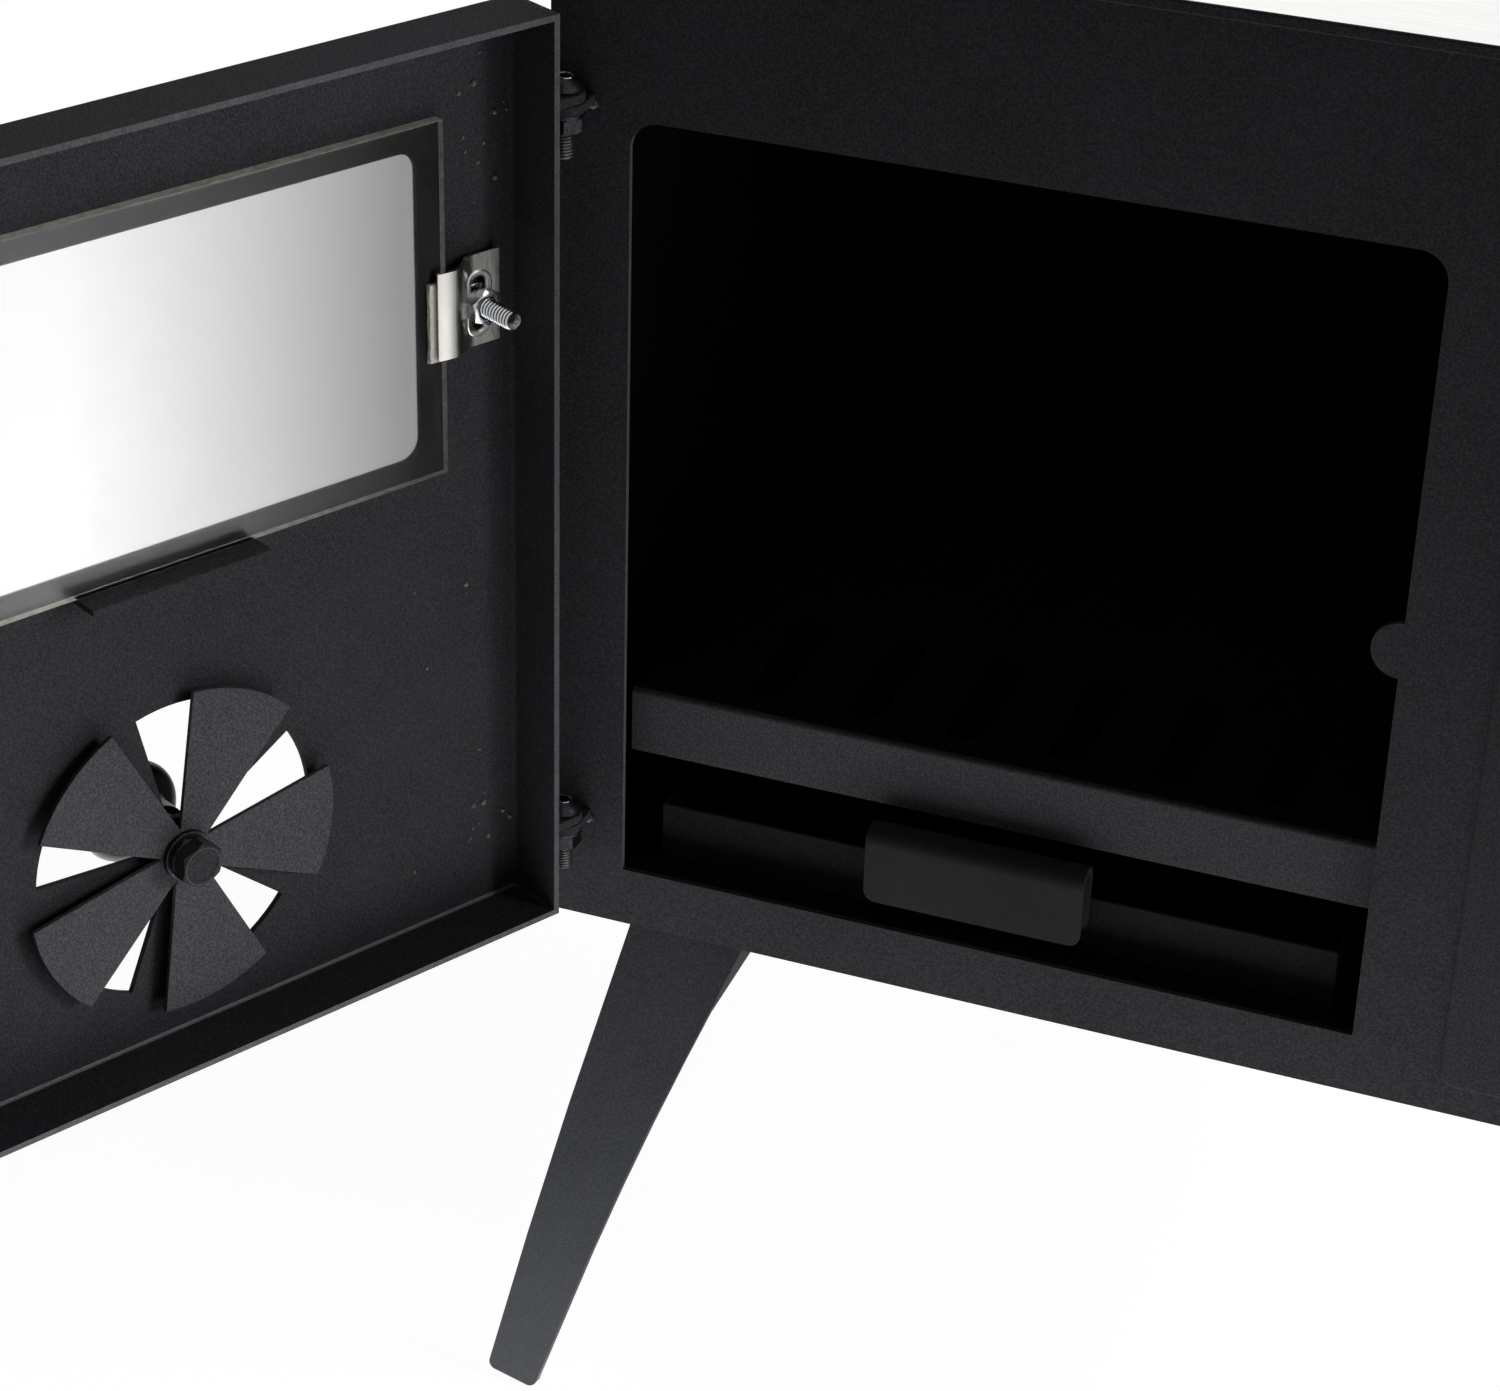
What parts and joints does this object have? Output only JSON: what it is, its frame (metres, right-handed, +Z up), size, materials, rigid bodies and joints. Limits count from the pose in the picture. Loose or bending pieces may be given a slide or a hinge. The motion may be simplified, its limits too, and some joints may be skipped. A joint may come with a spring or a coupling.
{
  "type": "wood stove",
  "caption": "Small sheet-steel wood stove on splayed legs: glazed tray door open on its hinges, rotary air vent, slotted grate, ash drawer, flue collar and hob.",
  "frame": {"origin": "on the flue's centre line, at the top face of the flue collar's flange", "axes": "+X to the stove's right as seen from the front, +Y from the front plate to the back, +Z up along the flue"},
  "size_m": [0.6256, 0.5892, 0.5508],
  "materials": {
    "matte_black_paint": "matte heat-resistant black paint with a fine grain",
    "sooted_steel": "heat-resistant black paint, dulled inside the firebox",
    "black_oxide_steel": "black-painted steel fasteners, satin",
    "satin_stainless": "satin stainless steel",
    "zinc_plated_steel": "bright zinc plating",
    "bright_stainless": "bright rolled stainless steel",
    "ceramic_fibre": "white ceramic fibre",
    "stove_glass": "clear heat-resistant glass, faintly grey",
    "black_bakelite": "black heat-resistant moulding, satin"
  },
  "bodies": {
    "stove": {"front_plate": "matte_black_paint", "left_side": "matte_black_paint", "right_side": "matte_black_paint", "back_plate": "matte_black_paint", "ash_floor": "matte_black_paint", "smoke_baffle": "sooted_steel", "top_frame": "matte_black_paint", "hob_plate": "satin_stainless", "flue_collar": "matte_black_paint", "collar_screws": "black_oxide_steel", "collar_nuts": "black_oxide_steel", "grate": "sooted_steel", "grate_rail_left": "sooted_steel", "grate_rail_right": "sooted_steel", "leg_front_left": "matte_black_paint", "leg_front_right": "matte_black_paint", "leg_rear_left": "matte_black_paint", "leg_rear_right": "matte_black_paint", "leg_studs": "zinc_plated_steel", "leg_nuts": "zinc_plated_steel", "body_lug_upper": "matte_black_paint", "body_lug_lower": "matte_black_paint", "hinge_bolts": "black_oxide_steel", "hinge_washers": "black_oxide_steel", "hinge_nuts": "black_oxide_steel", "ash_drawer": "matte_black_paint", "drawer_pull": "matte_black_paint"},
    "door": {"door_panel": "matte_black_paint", "door_lug_upper": "matte_black_paint", "door_lug_lower": "matte_black_paint", "window_glass": "stove_glass", "glass_ledge": "matte_black_paint", "glass_clip_left": "bright_stainless", "glass_clip_right": "bright_stainless", "clip_pads": "ceramic_fibre", "clip_bolts": "zinc_plated_steel", "clip_washers": "zinc_plated_steel", "clip_nuts": "zinc_plated_steel"},
    "vent": {"vent_blades": "matte_black_paint", "vent_bolt": "black_oxide_steel", "vent_washer": "black_oxide_steel", "vent_spring_washer": "zinc_plated_steel", "vent_spacer": "black_oxide_steel", "vent_nut": "black_oxide_steel", "vent_knob": "black_bakelite"},
    "latch": {"latch_shaft": "zinc_plated_steel", "latch_finger": "zinc_plated_steel", "latch_nut": "zinc_plated_steel", "latch_boss": "black_bakelite", "latch_cap_nut": "zinc_plated_steel", "handle_rod": "zinc_plated_steel", "handle_grip": "black_bakelite"}
  },
  "joints": [
    {"name": "door_hinge", "type": "hinge", "parent": "stove", "child": "door", "pos_m": [-0.35935, -0.1735, -0.1735], "axis": [0, 0, 1], "range_deg": [-17, 118]},
    {"name": "vent_turn", "type": "hinge", "parent": "door", "child": "vent", "pos_m": [-0.43409, -0.28892, -0.2613], "axis": [0.8829, -0.4695, 0], "continuous": true},
    {"name": "latch_turn", "type": "hinge", "parent": "door", "child": "latch", "pos_m": [-0.48374, -0.37805, -0.1851], "axis": [-0.8829, 0.4695, 0], "range_deg": [0, 90]}
  ]
}
